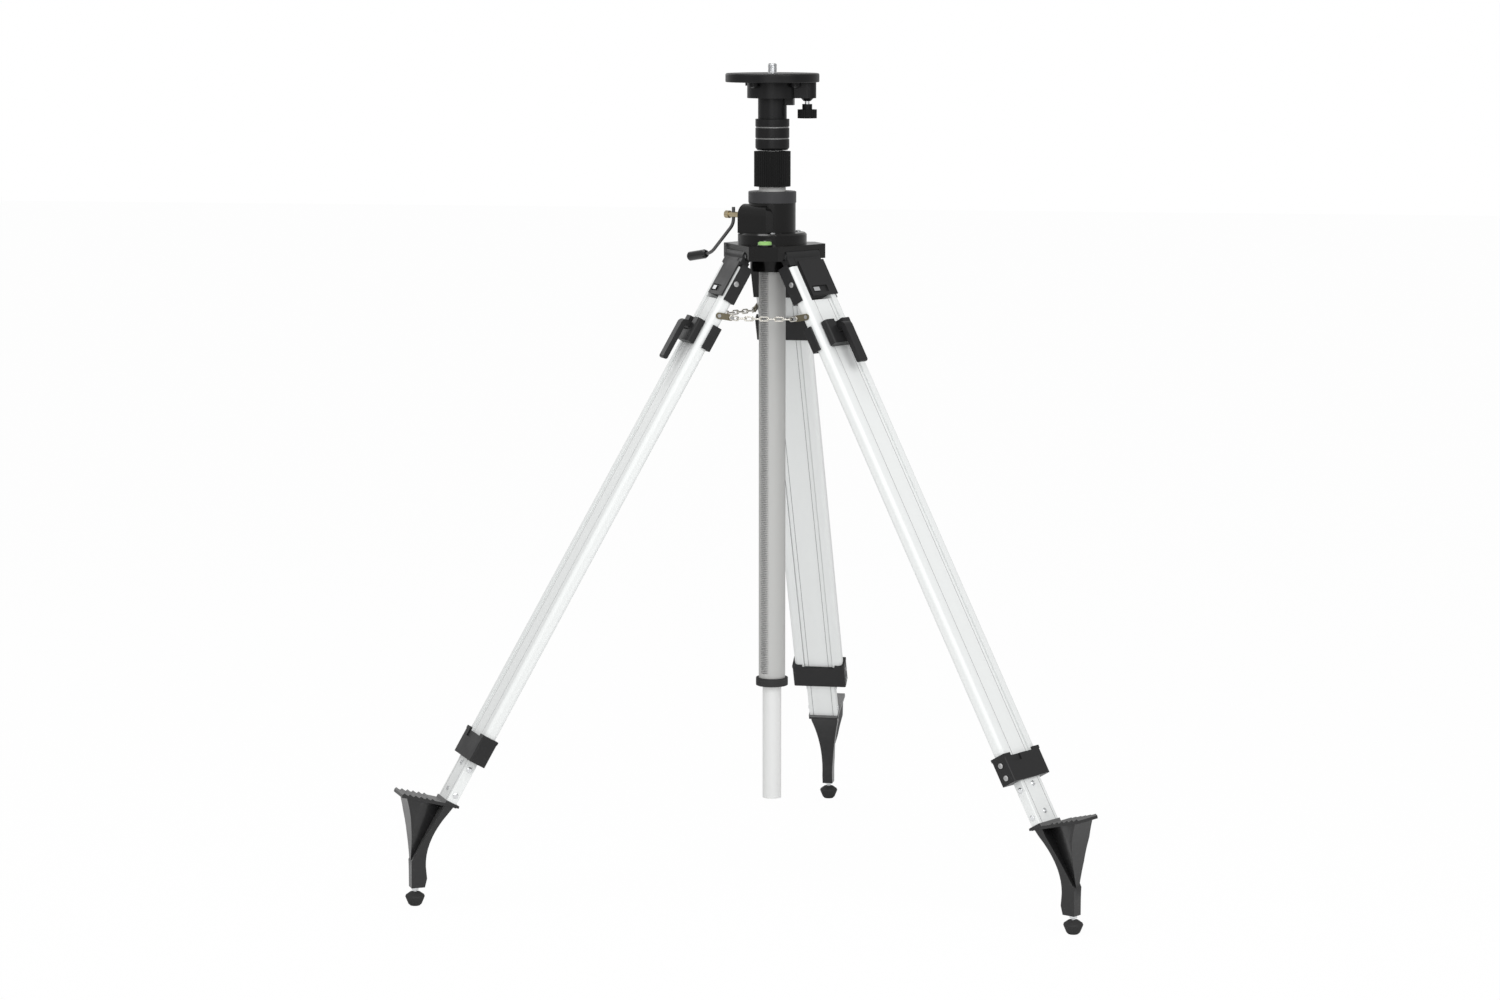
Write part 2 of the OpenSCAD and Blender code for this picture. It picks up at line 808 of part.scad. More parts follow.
module housing_cap() {
    color("#4a4a4c")
        difference() {
            union() {
                rod(cap_d / 2, cap_bottom + cap_edge, cap_top - cap_edge);
                translate([0, 0, cap_top - cap_edge])
                    cylinder(r1 = cap_d / 2, r2 = cap_d / 2 - cap_edge, h = cap_edge);
                translate([0, 0, cap_bottom])
                    cylinder(r1 = cap_d / 2 - cap_edge, r2 = cap_d / 2, h = cap_edge);
            }
            rod(guide_r, cap_bottom - eps, cap_top - cap_lip);
            rod(column_r + 2 * part_gap, cap_top - cap_lip - eps, cap_top + eps);
        }
}

module column_bush() {
    color("#c9b27a") {
        ring(guide_r, column_r + run_gap, cap_bottom, cap_top - cap_lip);
        ring(guide_r, column_r + run_gap, crown_bottom + hub_floor, crown_top - crown_plate_t);
    }
}

module crown_outline() {
    intersection_for(i = [0 : 2]) {
        rotate([0, 0, AZIMUTHS[i]])
            translate([-2 * gap_side, -2 * gap_side]) square([2 * gap_side + leg_side, 4 * gap_side]);
        rotate([0, 0, AZIMUTHS[i] + 180])
            translate([-2 * gap_side, -2 * gap_side]) square([3 * gap_side, 4 * gap_side]);
    }
}

module crown() {
    plate_under = crown_top - crown_plate_t;
    color("#111112")
        difference() {
            union() {
                translate([0, 0, plate_under]) linear_extrude(height = crown_plate_t) crown_outline();
                rod(hub_r, crown_bottom, plate_under + eps);
                difference() {
                    translate([0, 0, lug_bottom])
                        linear_extrude(height = plate_under - lug_bottom + eps) crown_outline();
                    for (a = AZIMUTHS)
                        rotate([0, 0, a])
                            block([0, -slot_w / 2, lug_bottom - eps],
                                  [2 * gap_side, slot_w / 2, plate_under]);
                }
                for (a = CHAIN_AZIMUTHS)
                    rotate([0, 0, a])
                        block([guide_r + rib_gap, -rib_w / 2, lug_bottom],
                              [hinge_r, rib_w / 2, plate_under + eps]);
            }
            rod(guide_r, crown_bottom + hub_floor, crown_top + eps);
            rod(column_r + 2 * part_gap, crown_bottom - eps, crown_bottom + hub_floor + eps);
            for (a = AZIMUTHS)
                rotate([0, 0, a])
                    translate([hinge_r, 0, hinge_z])
                        rotate([90, 0, 0]) {
                            rod(pin_d / 2, -pin_half, pin_half);
                            rod(barrel_r + part_gap, -slot_w / 2, slot_w / 2);
                        }
            at_flange_screws() screw_hole(flange_screw_l + part_gap);
        }
}

module crown_fasteners() {
    washer_inner = barrel_w / 2 + part_gap;
    color("#b9bcc0") {
        for (a = AZIMUTHS)
            rotate([0, 0, a])
                translate([hinge_r, 0, hinge_z])
                    rotate([90, 0, 0]) {
                        rod(pin_d / 2, -pin_half, pin_half);
                        for (side = [0, 180])
                            rotate([side, 0, 0]) rod(washer_r, washer_inner, slot_w / 2);
                    }
        at_flange_screws() screw(flange_screw_l);
    }
}

module bubble_vial() {
    color("#8fc94f")
        rotate([0, 0, vial_az])
            translate([vial_r, 0, crown_top]) {
                rod(vial_d / 2, 0, vial_h - vial_bevel[1]);
                translate([0, 0, vial_h - vial_bevel[1]])
                    cylinder(r1 = vial_d / 2, r2 = vial_d / 2 - vial_bevel[0], h = vial_bevel[1]);
            }
}

// Legs

bracket_screw_at = 51;
web_h = 20;
web_half = 7;
rail_top = web_h + 2;
rail_corner = 7.5;
cover_t = 3;
cover_y = [-22, leg_w / 2];
cover_top = 14;
filler_end = 2;
filler_top = 8;
cheek_end = cover_end + 4;
cheek_face = leg_face - 4;
notch = [[-15, 62], [24, 74]];
tab = [[-13, 64], [3, 72]];
sleeve_end = rail_end + 6;
sleeve_top = sleeve_end - sleeve_l;
sleeve_mid = sleeve_end - sleeve_l / 2;
sleeve_screws = [-11, 11];
sleeve_screw_sides = [-1];
sleeve_notch = [[-30, 0], [-8, 11]];
sleeve_notch_depth = 2;
ear_rise = 5;
ear_from = rail_inner + 4;

// X out of the leg's face, Y across, Z up along the leg, origin on the hinge pin
module leg_frame(az) {
    rotate([0, 0, az]) translate([hinge_r, 0, hinge_z]) rotate([0, -spread, 0]) children();
}

// Extrudes an outline in X and Y between two distances from the hinge
module along(from, to) {
    translate([0, 0, -to]) linear_extrude(height = to - from) children();
}

// Places a fastener on the sides of the leg, pointing out
module on_sides(x, y, at, sides = [-1, 1]) {
    for (side = sides)
        translate([x, side * y, -at]) rotate([-90 * side, 0, 0]) children();
}

// Rail's outline, rounded on the leg's outer side
module rail_outline(side) {
    low = side > 0 ? rail_inner : -leg_w / 2;
    round_rect([leg_back, low], [leg_face, low + rail_w], rail_corner);
    translate([leg_back, side > 0 ? low : low + rail_w - rail_corner]) square([rail_t, rail_corner]);
}

module rail_bore(side) {
    low = [leg_back, side > 0 ? rail_inner : -leg_w / 2] + rail_wall * [1, 1];
    round_rect(low, low + [rail_t, rail_w] - 2 * rail_wall * [1, 1], rail_corner - rail_wall);
}

module bracket_holes() {
    on_sides(rail_x, leg_w / 2 + cheek_t, bracket_screw_at) screw_hole(cheek_t + rail_wall + drill_over);
}

module sleeve_holes() {
    for (offset = sleeve_screws)
        on_sides(rail_x, leg_w / 2 + sleeve_wall, sleeve_mid + offset, sleeve_screw_sides)
            screw_hole(sleeve_wall + rail_wall + drill_over);
}

module rivet_holes() {
    on_sides(rail_x, leg_w / 2, eye_at) screw_hole(rail_wall + drill_over);
}

module leg_rails(az) {
    color("#c9ccce")
        leg_frame(az)
            difference() {
                along(rail_top, rail_end)
                    for (side = [-1, 1])
                        difference() {
                            rail_outline(side);
                            rail_bore(side);
                        }
                bracket_holes();
                sleeve_holes();
                rivet_holes();
            }
}

module hinge_bracket(az) {
    cheek_y = leg_w / 2 + cheek_t;
    color("#2a2a2b")
        leg_frame(az)
            difference() {
                union() {
                    rotate([90, 0, 0]) rod(barrel_r, -barrel_w / 2, barrel_w / 2);
                    block([-web_half, -barrel_w / 2, -web_h], [web_half, barrel_w / 2, 0]);
                    block([leg_back, -rail_inner, filler_end - cover_end],
                          [leg_face + eps, rail_inner, -filler_top]);
                    difference() {
                        block([leg_face, cover_y[0], -cover_end],
                              [leg_face + cover_t, cover_y[1], -cover_top]);
                        block([leg_face - eps, notch[0][0], -notch[1][1]],
                              [leg_face + cover_t + eps, notch[1][0], -notch[0][1]]);
                    }
                    block([leg_face - eps, tab[0][0], -tab[1][1]],
                          [leg_face + cover_t * 0.8, tab[1][0], -tab[0][1]]);
                    block([leg_back - cheek_t, -cheek_y, -cheek_end], [leg_back, cheek_y, -cheek_top]);
                    for (side = [-1, 1])
                        translate([0, side * (leg_w / 2 + cheek_t / 2), 0])
                            block([leg_back - eps, -cheek_t / 2, -cheek_end],
                                  [cheek_face, cheek_t / 2, -cheek_top]);
                }
                rotate([90, 0, 0]) rod(pin_d / 2 + run_gap, -barrel_w, barrel_w);
                bracket_holes();
            }
}

module lower_collar(az) {
    half_w = leg_w / 2 + sleeve_wall;
    low_x = leg_back - sleeve_wall;
    high_x = leg_face + sleeve_wall;
    color("#262627")
        leg_frame(az)
            difference() {
                union() {
                    along(sleeve_top, sleeve_end) round_rect([low_x, -half_w], [high_x, half_w], 3);
                    for (side = [-1, 1])
                        along(sleeve_top - ear_rise, sleeve_top + eps)
                            translate([low_x, side > 0 ? ear_from : -half_w])
                                square([high_x - low_x, half_w - ear_from]);
                }
                for (side = [-1, 1])
                    along(sleeve_top - ear_rise - eps, rail_end) rail_outline(side);
                along(sleeve_top - eps, sleeve_end + eps)
                    translate([rail_x - lower_t / 2 - part_gap, -lower_w / 2 - part_gap])
                        square([lower_t + 2 * part_gap, lower_w + 2 * part_gap]);
                block([high_x - sleeve_notch_depth, sleeve_notch[0][0], -sleeve_top - sleeve_notch[1][1]],
                      [high_x + eps, sleeve_notch[1][0], -sleeve_top + eps]);
                sleeve_holes();
            }
}

eye_plate_t = 2;
eye_plate_r = 5.5;
eye_tilt = 20;
post_r = 1.6;
rivet_r = 3.2;
rivet_t = 1.4;
link_play = 0.25;
post_l = eye_plate_t + wire_d + 2 * link_play;

// X along the plate from its rivet to the chain's post, Z out of the leg's side
module eye_frames() {
    for (side = [-1, 1])
        translate([rail_x, side * leg_w / 2, -eye_at])
            rotate([-90 * side, 0, 0])
                rotate([0, 0, 180 + side * eye_tilt])
                    children();
}

module leg_fasteners(az) {
    color("#8f8a72")
        leg_frame(az) {
            on_sides(rail_x, leg_w / 2 + cheek_t, bracket_screw_at) screw(cheek_t + rail_wall + screw_over);
            for (offset = sleeve_screws)
                on_sides(rail_x, leg_w / 2 + sleeve_wall, sleeve_mid + offset, sleeve_screw_sides)
                    screw(sleeve_wall + rail_wall + screw_over);
            eye_frames() {
                linear_extrude(height = eye_plate_t) {
                    for (x = [0, eye_reach]) translate([x, 0]) circle(r = eye_plate_r);
                    translate([0, -eye_plate_r]) square([eye_reach, 2 * eye_plate_r]);
                }
                rod(screw_r, -rail_wall - screw_over, eps);
                rod(rivet_r, 0, eye_plate_t + rivet_t);
                translate([eye_reach, 0, 0]) {
                    rod(post_r, 0, post_l + rivet_t);
                    rod(rivet_r, post_l, post_l + rivet_t);
                }
            }
        }
}

lower_corner = 2;
seam_w = 1;
seam_inset = 8;

module lower_leg(az) {
    color("#cfd2d4")
        leg_frame(az)
            difference() {
                along(lower_top, lower_end)
                    difference() {
                        round_rect([rail_x - lower_t / 2, -lower_w / 2],
                                   [rail_x + lower_t / 2, lower_w / 2], lower_corner);
                        translate([rail_x - lower_t / 2 + lower_wall, lower_wall - lower_w / 2])
                            square([lower_t - 2 * lower_wall, lower_w - 2 * lower_wall]);
                        for (x = [-1, 1], y = [-1, 1])
                            translate([rail_x + x * lower_t / 2, y * (lower_w / 2 - seam_inset)])
                                square(seam_w, center = true);
                    }
                foot_screw_holes();
            }
}

// Clamps

pad_margin = 1;
pivot_depth = 5;
pivot_x = lever_x - pivot_depth;
lever_hub_r = 7;
finger_gap = 21.5;
arm_in = leg_face + finger_gap;
arm_end = lever_at + lever_l - lever_from_top;
lever_round = lever_t / 2 - 0.5;
lever_bend = 9;
bend_x = arm_in + lever_t - lever_bend;
bend_at = lever_at - lever_hub_r + lever_bend;

module clamp_block(az) {
    face = leg_face + part_gap;
    half = lever_w / 2 + part_gap;
    color("#232324")
        leg_frame(az) {
            difference() {
                union() {
                    along(clamp_top, clamp_top + clamp_l)
                        round_rect([face, -block_w / 2], [face + block_h, block_w / 2], 4);
                    block([rail_x + lower_t / 2, pad_margin - rail_inner, -clamp_top - clamp_l],
                          [face + 4, rail_inner - pad_margin, -clamp_top]);
                }
                block([pivot_x - lever_hub_r - part_gap, -half, -lever_at - lever_hub_r - part_gap],
                      [face + block_h + eps, half, eps - clamp_top]);
            }
            translate([pivot_x, 0, -lever_at]) rotate([90, 0, 0]) rod(lever_pin_d / 2, -half, half);
        }
}

module clamp_yoke(az) {
    back = leg_back - part_gap;
    inner = leg_w / 2 + part_gap;
    outer = inner + yoke_wall;
    color("#232324")
        leg_frame(az)
            along(clamp_top, clamp_top + clamp_l) {
                translate([back - yoke_wall, -outer]) square([yoke_wall, 2 * outer]);
                for (side = [-1, 1])
                    translate([back - eps, side > 0 ? inner : -outer]) square([rail_t * 0.6, yoke_wall]);
                translate([back - eps, pad_margin - rail_inner])
                    square([rail_x - lower_t / 2 - back + eps, 2 * (rail_inner - pad_margin)]);
            }
}

module lever_outline() {
    difference() {
        union() {
            translate([pivot_x, -lever_at]) circle(r = lever_hub_r);
            translate([pivot_x, -bend_at]) square([bend_x - pivot_x + eps, lever_bend]);
            translate([bend_x, -bend_at])
                intersection() {
                    circle(r = lever_bend);
                    square(lever_bend);
                }
            translate([arm_in, -bend_at - lever_bend]) square([lever_t, lever_bend + eps]);
            round_rect([arm_in, -arm_end], [arm_in + lever_t, -bend_at], lever_round);
        }
        translate([pivot_x, -lever_at]) circle(r = lever_pin_d / 2 + run_gap);
    }
}

module clamp_lever(az) {
    color("#2b2b2c")
        leg_frame(az)
            rotate([90, 0, 0])
                translate([0, 0, -lever_w / 2]) linear_extrude(height = lever_w) lever_outline();
}

// Feet

socket_t = 6;
socket_edge = 1.5;
plug_l = 76;
foot_screws = [67, 18];
side_screw_shift = 5;
foot_screw_l = 7;
foot_stud_in = 14;
pad_bore_floor = 8;
pad_edge = 3;
pad_belly = [0.55, 0.66, 0.78];
tread_rise = 15;
tread_drop = 3;
tread_back = 14;
tread_reach = 88;
tread_teeth = 6;
tooth_h = 3;
tooth_pitch = 10;
tooth_shape = [[0, 0], [0.25, 1], [0.75, 0.2]];
heel_x = [-15, -19];
heel_z = [15, 36];
toe_x = 8;
foot_half = 9.5;
foot_top_half = 25;
toe_inset = 8;
toe_bend = 0.78;
toe_rise = 56;
heel_inset = 10;
heel_bend = [-15, 118];
heel_ease = 2;
flare_from = 26;
flare_bend = 0.6;
flare_below = 18;
rib_start = [16, 64];
rib_lean = 30;
foot_web = 4;
scoop_reach = 70;
scoop_edge = 42.5;
scoop_l = 150;

// Leg's end as seen from the middle of the pad's sole, in the upright foot frame
ankle = [
    pad_inset * cos(spread) - foot_drop * sin(spread),
    foot_drop * cos(spread) + pad_inset * sin(spread)
];

// X out from the column, Z up, origin on the floor under the pad
module foot_frame(az) {
    leg_frame(az)
        translate([rail_x - pad_inset, 0, -lower_end - foot_drop]) rotate([0, spread, 0]) children();
}

module foot_screw_holes() {
    foot_screw_places() screw_hole(foot_screw_l + part_gap);
}

module foot_screw_places() {
    for (up = foot_screws) {
        translate([rail_x + lower_t / 2, 0, up - lower_end]) rotate([0, 90, 0]) children();
        on_sides(rail_x, lower_w / 2, lower_end - up + side_screw_shift) children();
    }
}

// Tread outline from the side, with a saw-toothed top
module tread_outline() {
    saw = [
        for (i = [0 : tread_teeth - 1], k = tooth_shape)
            [tread_reach - (i + k[0]) * tooth_pitch, tooth_h * k[1]]
    ];
    polygon(concat([[-tread_back, -tread_t], [tread_reach, -tread_t]], saw, [[-tread_back, 0]]));
}

module foot_side() {
    way = [cos(tread_rise), sin(tread_rise)];
    under = [0, tread_drop + tread_t - 1];
    tip = ankle + (tread_reach - toe_inset) * way - under;
    back = ankle - (tread_back - heel_inset) * way - under;
    front = bend(tip, [toe_x, tip.y * toe_bend], [toe_x, foot_clear + toe_rise], 8);
    heel = bend([heel_x[1] + heel_ease, foot_clear + heel_z[1]], heel_bend, back, 10);
    base = [[toe_x, foot_clear], [heel_x[0], foot_clear], [heel_x[1], foot_clear + heel_z[0]]];
    polygon(concat(front, base, heel));
}

module foot_front() {
    top = ankle.y + tread_reach;
    start = [foot_half, foot_clear + flare_from];
    side = bend(start, [foot_half + 1, ankle.y * flare_bend], [foot_top_half, ankle.y - flare_below], 8);
    right = concat([[foot_half, foot_clear]], side, [[foot_top_half, top]]);
    polygon(concat(right, [for (i = [len(right) - 1 : -1 : 0]) [-right[i].x, right[i].y]]));
}

// Hollows on both sides between the heel's rib and the toe, shallower towards the toe
module foot_scoops() {
    translate([rib_start.x, 0, rib_start.y])
        rotate([0, -rib_lean, 0])
            linear_extrude(height = scoop_l)
                for (side = [-1, 1])
                    polygon([[0, side * foot_web], [scoop_reach, side * scoop_edge],
                             [scoop_reach, side * tread_w], [0, side * tread_w]]);
}

module foot(az) {
    color("#1b1b1c")
        difference() {
            union() {
                leg_frame(az) {
                    along(lower_end - plug_l, lower_end + eps)
                        translate([rail_x - lower_t / 2 + lower_wall, lower_wall - lower_w / 2])
                            square([lower_t - 2 * lower_wall, lower_w - 2 * lower_wall]);
                    along(lower_end, lower_end + socket_t)
                        translate([rail_x - lower_t / 2 - socket_edge, -lower_w / 2 - socket_edge])
                            square([lower_t + 2 * socket_edge, lower_w + 2 * socket_edge]);
                }
                foot_frame(az) {
                    difference() {
                        translate([ankle.x, 0, ankle.y - tread_drop])
                            rotate([0, -tread_rise, 0])
                                rotate([90, 0, 0])
                                    linear_extrude(height = tread_w, center = true) tread_outline();
                        translate([ankle.x, 0, ankle.y])
                            rotate([0, -spread, 0])
                                block([-lower_t, -tread_w, 0], [lower_t / 2 + 2, tread_w, foot_drop]);
                    }
                    difference() {
                        intersection() {
                            rotate([90, 0, 0]) linear_extrude(height = tread_w, center = true) foot_side();
                            rotate([90, 0, 90])
                                linear_extrude(height = 4 * tread_reach, center = true) foot_front();
                        }
                        foot_scoops();
                    }
                }
            }
            foot_frame(az) rod(foot_stud_d / 2, foot_clear - eps, foot_clear + foot_stud_in);
            leg_frame(az) foot_screw_holes();
        }
}

module foot_fasteners(az) {
    color("#b9bcc0") {
        leg_frame(az) foot_screw_places() screw(foot_screw_l);
        foot_frame(az) rod(foot_stud_d / 2, pad_bore_floor + part_gap, foot_clear + foot_stud_in);
    }
}

module foot_pad(az) {
    r = pad_d / 2;
    sole = pad_sole_d / 2;
    color("#2d2d2d")
        foot_frame(az)
            difference() {
                rotate_extrude()
                    polygon([[0, 0], [sole, 0], [sole + pad_edge, pad_edge], [r - 1, pad_h * pad_belly[0]],
                             [r, pad_h * pad_belly[1]], [r - 1, pad_h * pad_belly[2]], [sole, pad_h],
                             [0, pad_h]]);
                rod(foot_stud_d / 2 + run_gap, pad_bore_floor, pad_h + eps);
            }
}

// Chains

eye_x = rail_x - eye_reach * cos(eye_tilt);
eye_s = eye_at - eye_reach * sin(eye_tilt);
eye_y = leg_w / 2 + eye_plate_t + link_play + wire_d / 2;
eye_out = hinge_r + eye_s * sin(spread) + eye_x * cos(spread);
eye_z = hinge_z - eye_s * cos(spread) + eye_x * sin(spread);
eye_fall = spread - eye_tilt;

// First and last link hang on the posts, flat against their plates
end_centre = link_l / 2 - post_r - link_play;
end_reach = link_l - post_r - 2 * link_play - wire_d / 2;
joint_out = eye_out - end_reach * cos(eye_fall);
joint_z = eye_z - end_reach * sin(eye_fall);
chain_r = joint_out * cos(60) + eye_y * sin(60);
chain_half = joint_out * sin(60) - eye_y * cos(60);
chain_run = 2 * chain_half - link_l - wire_d;
link_count = 2 * ceil(chain_run / (link_l - link_play) / 2) + 1;
link_step = chain_run / (link_count - 1);

// Link along X, flat in X and Y
module link() {
    bend_r = (link_w + wire_d) / 2;
    straight = link_l - link_w;
    for (side = [-1, 1]) {
        translate([-straight / 2, side * bend_r, 0]) rotate([0, 90, 0]) rod(wire_d / 2, 0, straight);
        translate([side * straight / 2, 0, 0])
            rotate([0, 0, -90 * side])
                rotate_extrude(angle = 180) translate([bend_r, 0]) circle(r = wire_d / 2, $fn = 24);
    }
}

module chain(az) {
    color("#cfcabb")
        rotate([0, 0, az]) {
            for (side = [-1, 1])
                rotate([0, 0, 60 * side])
                    translate([eye_out, -side * eye_y, eye_z])
                        rotate([0, -eye_fall, 0])
                            translate([-end_centre, 0, 0]) rotate([90, 0, 0]) link();
            translate([chain_r, 0, joint_z])
                rotate([0, 0, 90])
                    for (i = [0 : link_count - 1])
                        translate([(i - (link_count - 1) / 2) * link_step, 0, 0])
                            rotate([90 * (i % 2), 0, 0]) link();
        }
}

// Assembly

crown();
gear_housing();
housing_cap();
column_bush();
bubble_vial();
crown_fasteners();
crank_shaft();
pinion_gear();
crank_arm();
crank_grip();
outer_column();
column_collet();
stop_ring();
clamp_collar();
inner_column();
mast_adapter();
head_base();
head_plate();
head_screws();
instrument_stud();
stud_gear();
idler_gear();
drive_knob();
knob_gear();
chain(CHAIN_AZIMUTHS[0]);  // chain_front
chain(CHAIN_AZIMUTHS[1]);  // chain_left
chain(CHAIN_AZIMUTHS[2]);  // chain_right
for (i = [0 : 2]) {
    key = KEYS[i];
    az = AZIMUTHS[i];
    hinge_bracket(az);
    leg_rails(az);
    lower_collar(az);
    leg_fasteners(az);
    lower_leg(az);
    clamp_block(az);
    clamp_yoke(az);
    clamp_lever(az);
    foot(az);
    foot_fasteners(az);
    foot_pad(az);
}
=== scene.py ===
"""Looks of the elevating tripod: finishes, detail pieces, floor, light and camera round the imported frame."""

import json
import math

import bmesh
import bpy
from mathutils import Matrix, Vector


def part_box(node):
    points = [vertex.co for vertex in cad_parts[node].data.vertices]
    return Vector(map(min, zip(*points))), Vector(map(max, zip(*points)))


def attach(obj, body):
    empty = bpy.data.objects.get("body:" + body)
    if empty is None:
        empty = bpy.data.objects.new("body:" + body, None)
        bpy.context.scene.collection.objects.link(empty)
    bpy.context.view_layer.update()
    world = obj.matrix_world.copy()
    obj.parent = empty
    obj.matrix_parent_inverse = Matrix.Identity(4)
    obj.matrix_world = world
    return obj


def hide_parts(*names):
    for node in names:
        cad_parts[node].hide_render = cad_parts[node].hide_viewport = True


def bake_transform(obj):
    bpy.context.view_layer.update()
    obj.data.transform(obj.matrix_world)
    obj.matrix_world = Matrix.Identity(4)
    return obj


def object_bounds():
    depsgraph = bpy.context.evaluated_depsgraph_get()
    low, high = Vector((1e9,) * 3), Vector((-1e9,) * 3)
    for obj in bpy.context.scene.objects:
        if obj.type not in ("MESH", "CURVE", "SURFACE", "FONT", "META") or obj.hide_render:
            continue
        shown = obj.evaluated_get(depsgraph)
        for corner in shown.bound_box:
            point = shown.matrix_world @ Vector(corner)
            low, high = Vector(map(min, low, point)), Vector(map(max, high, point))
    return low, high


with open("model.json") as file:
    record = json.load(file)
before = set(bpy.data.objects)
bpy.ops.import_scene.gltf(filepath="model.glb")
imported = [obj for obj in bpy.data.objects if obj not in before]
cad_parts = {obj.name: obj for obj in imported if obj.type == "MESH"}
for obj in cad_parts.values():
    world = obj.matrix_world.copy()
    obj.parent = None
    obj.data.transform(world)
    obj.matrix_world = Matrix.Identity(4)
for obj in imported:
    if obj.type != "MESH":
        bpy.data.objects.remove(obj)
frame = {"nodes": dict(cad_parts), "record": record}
cad_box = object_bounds()

NODES = frame["nodes"]
LEGS = {"rear": 90.0, "left": 210.0, "right": 330.0}
CHAINS = {"chain_front": ("left", "right"), "chain_left": ("rear", "left"), "chain_right": ("right", "rear")}
SPREAD = math.radians(30.2)
MM = 0.001
NOISE_SPAN = (0.3, 0.7)
COAT_ROUGH = 0.12
BROADER = 40


# Materials

def new_material(name):
    """An empty material with a Principled shader; returns the material, its tree and the shader."""
    material = bpy.data.materials.new(name)
    material.use_nodes = True
    tree = material.node_tree
    return material, tree, tree.nodes["Principled BSDF"]


def mapped_noise(tree, scale, stretch=(1, 1, 1), turn=(0, 0, 0), detail=4.0):
    """Noise in the object's own coordinates, stretched and turned."""
    coords = tree.nodes.new("ShaderNodeTexCoord")
    mapping = tree.nodes.new("ShaderNodeMapping")
    mapping.vector_type = "TEXTURE"
    mapping.inputs["Rotation"].default_value = turn
    mapping.inputs["Scale"].default_value = stretch
    noise = tree.nodes.new("ShaderNodeTexNoise")
    noise.inputs["Scale"].default_value = scale
    noise.inputs["Detail"].default_value = detail
    tree.links.new(coords.outputs["Object"], mapping.inputs["Vector"])
    tree.links.new(mapping.outputs["Vector"], noise.inputs["Vector"])
    return noise


def vary(tree, noise, socket, low, high):
    """Drives a number of the shader between two values by the noise."""
    span = tree.nodes.new("ShaderNodeMapRange")
    span.inputs["From Min"].default_value = NOISE_SPAN[0]
    span.inputs["From Max"].default_value = NOISE_SPAN[1]
    span.inputs["To Min"].default_value = low
    span.inputs["To Max"].default_value = high
    tree.links.new(noise.outputs["Fac"], span.inputs["Value"])
    tree.links.new(span.outputs["Result"], socket)


def tint(tree, noise, socket, colour, amount):
    """Lets the colour wander a little to both sides."""
    mix = tree.nodes.new("ShaderNodeMix")
    mix.data_type = "RGBA"
    mix.inputs["A"].default_value = (*[c * (1 - amount) for c in colour], 1)
    mix.inputs["B"].default_value = (*[min(1, c * (1 + amount)) for c in colour], 1)
    tree.links.new(noise.outputs["Fac"], mix.inputs["Factor"])
    tree.links.new(mix.outputs["Result"], socket)


def roughen(tree, shader, noise, strength, distance):
    """Fine relief of the surface."""
    bump = tree.nodes.new("ShaderNodeBump")
    bump.inputs["Strength"].default_value = strength
    bump.inputs["Distance"].default_value = distance
    tree.links.new(noise.outputs["Fac"], bump.inputs["Height"])
    tree.links.new(bump.outputs["Normal"], shader.inputs["Normal"])


def finish_of(name, colour, rough, metallic=0.0, coat=0.0, grain=900.0, relief=0.15, depth=0.00008,
              wander=0.08, stretch=(1, 1, 1), turn=(0, 0, 0), spread=0.12, specular=0.5):
    """A surface whose colour, gloss and relief vary finely, as a real finish does."""
    material, tree, shader = new_material(name)
    shader.inputs["Base Color"].default_value = (*colour, 1)
    shader.inputs["Metallic"].default_value = metallic
    shader.inputs["Coat Weight"].default_value = coat
    shader.inputs["Coat Roughness"].default_value = COAT_ROUGH
    shader.inputs["Specular IOR Level"].default_value = specular
    fine = mapped_noise(tree, grain, stretch, turn) if relief else None
    broad = mapped_noise(tree, grain / BROADER, stretch, turn, 2.0)
    tint(tree, broad, shader.inputs["Base Color"], colour, wander)
    vary(tree, broad, shader.inputs["Roughness"], rough * (1 - spread), rough * (1 + spread))
    if relief:
        roughen(tree, shader, fine, relief, depth)
    return material


ALONG = (1, 1, 60)


def leg_turn(azimuth):
    """Turn that lays a pattern's long direction along a spread leg."""
    return (0, -SPREAD, math.radians(azimuth))


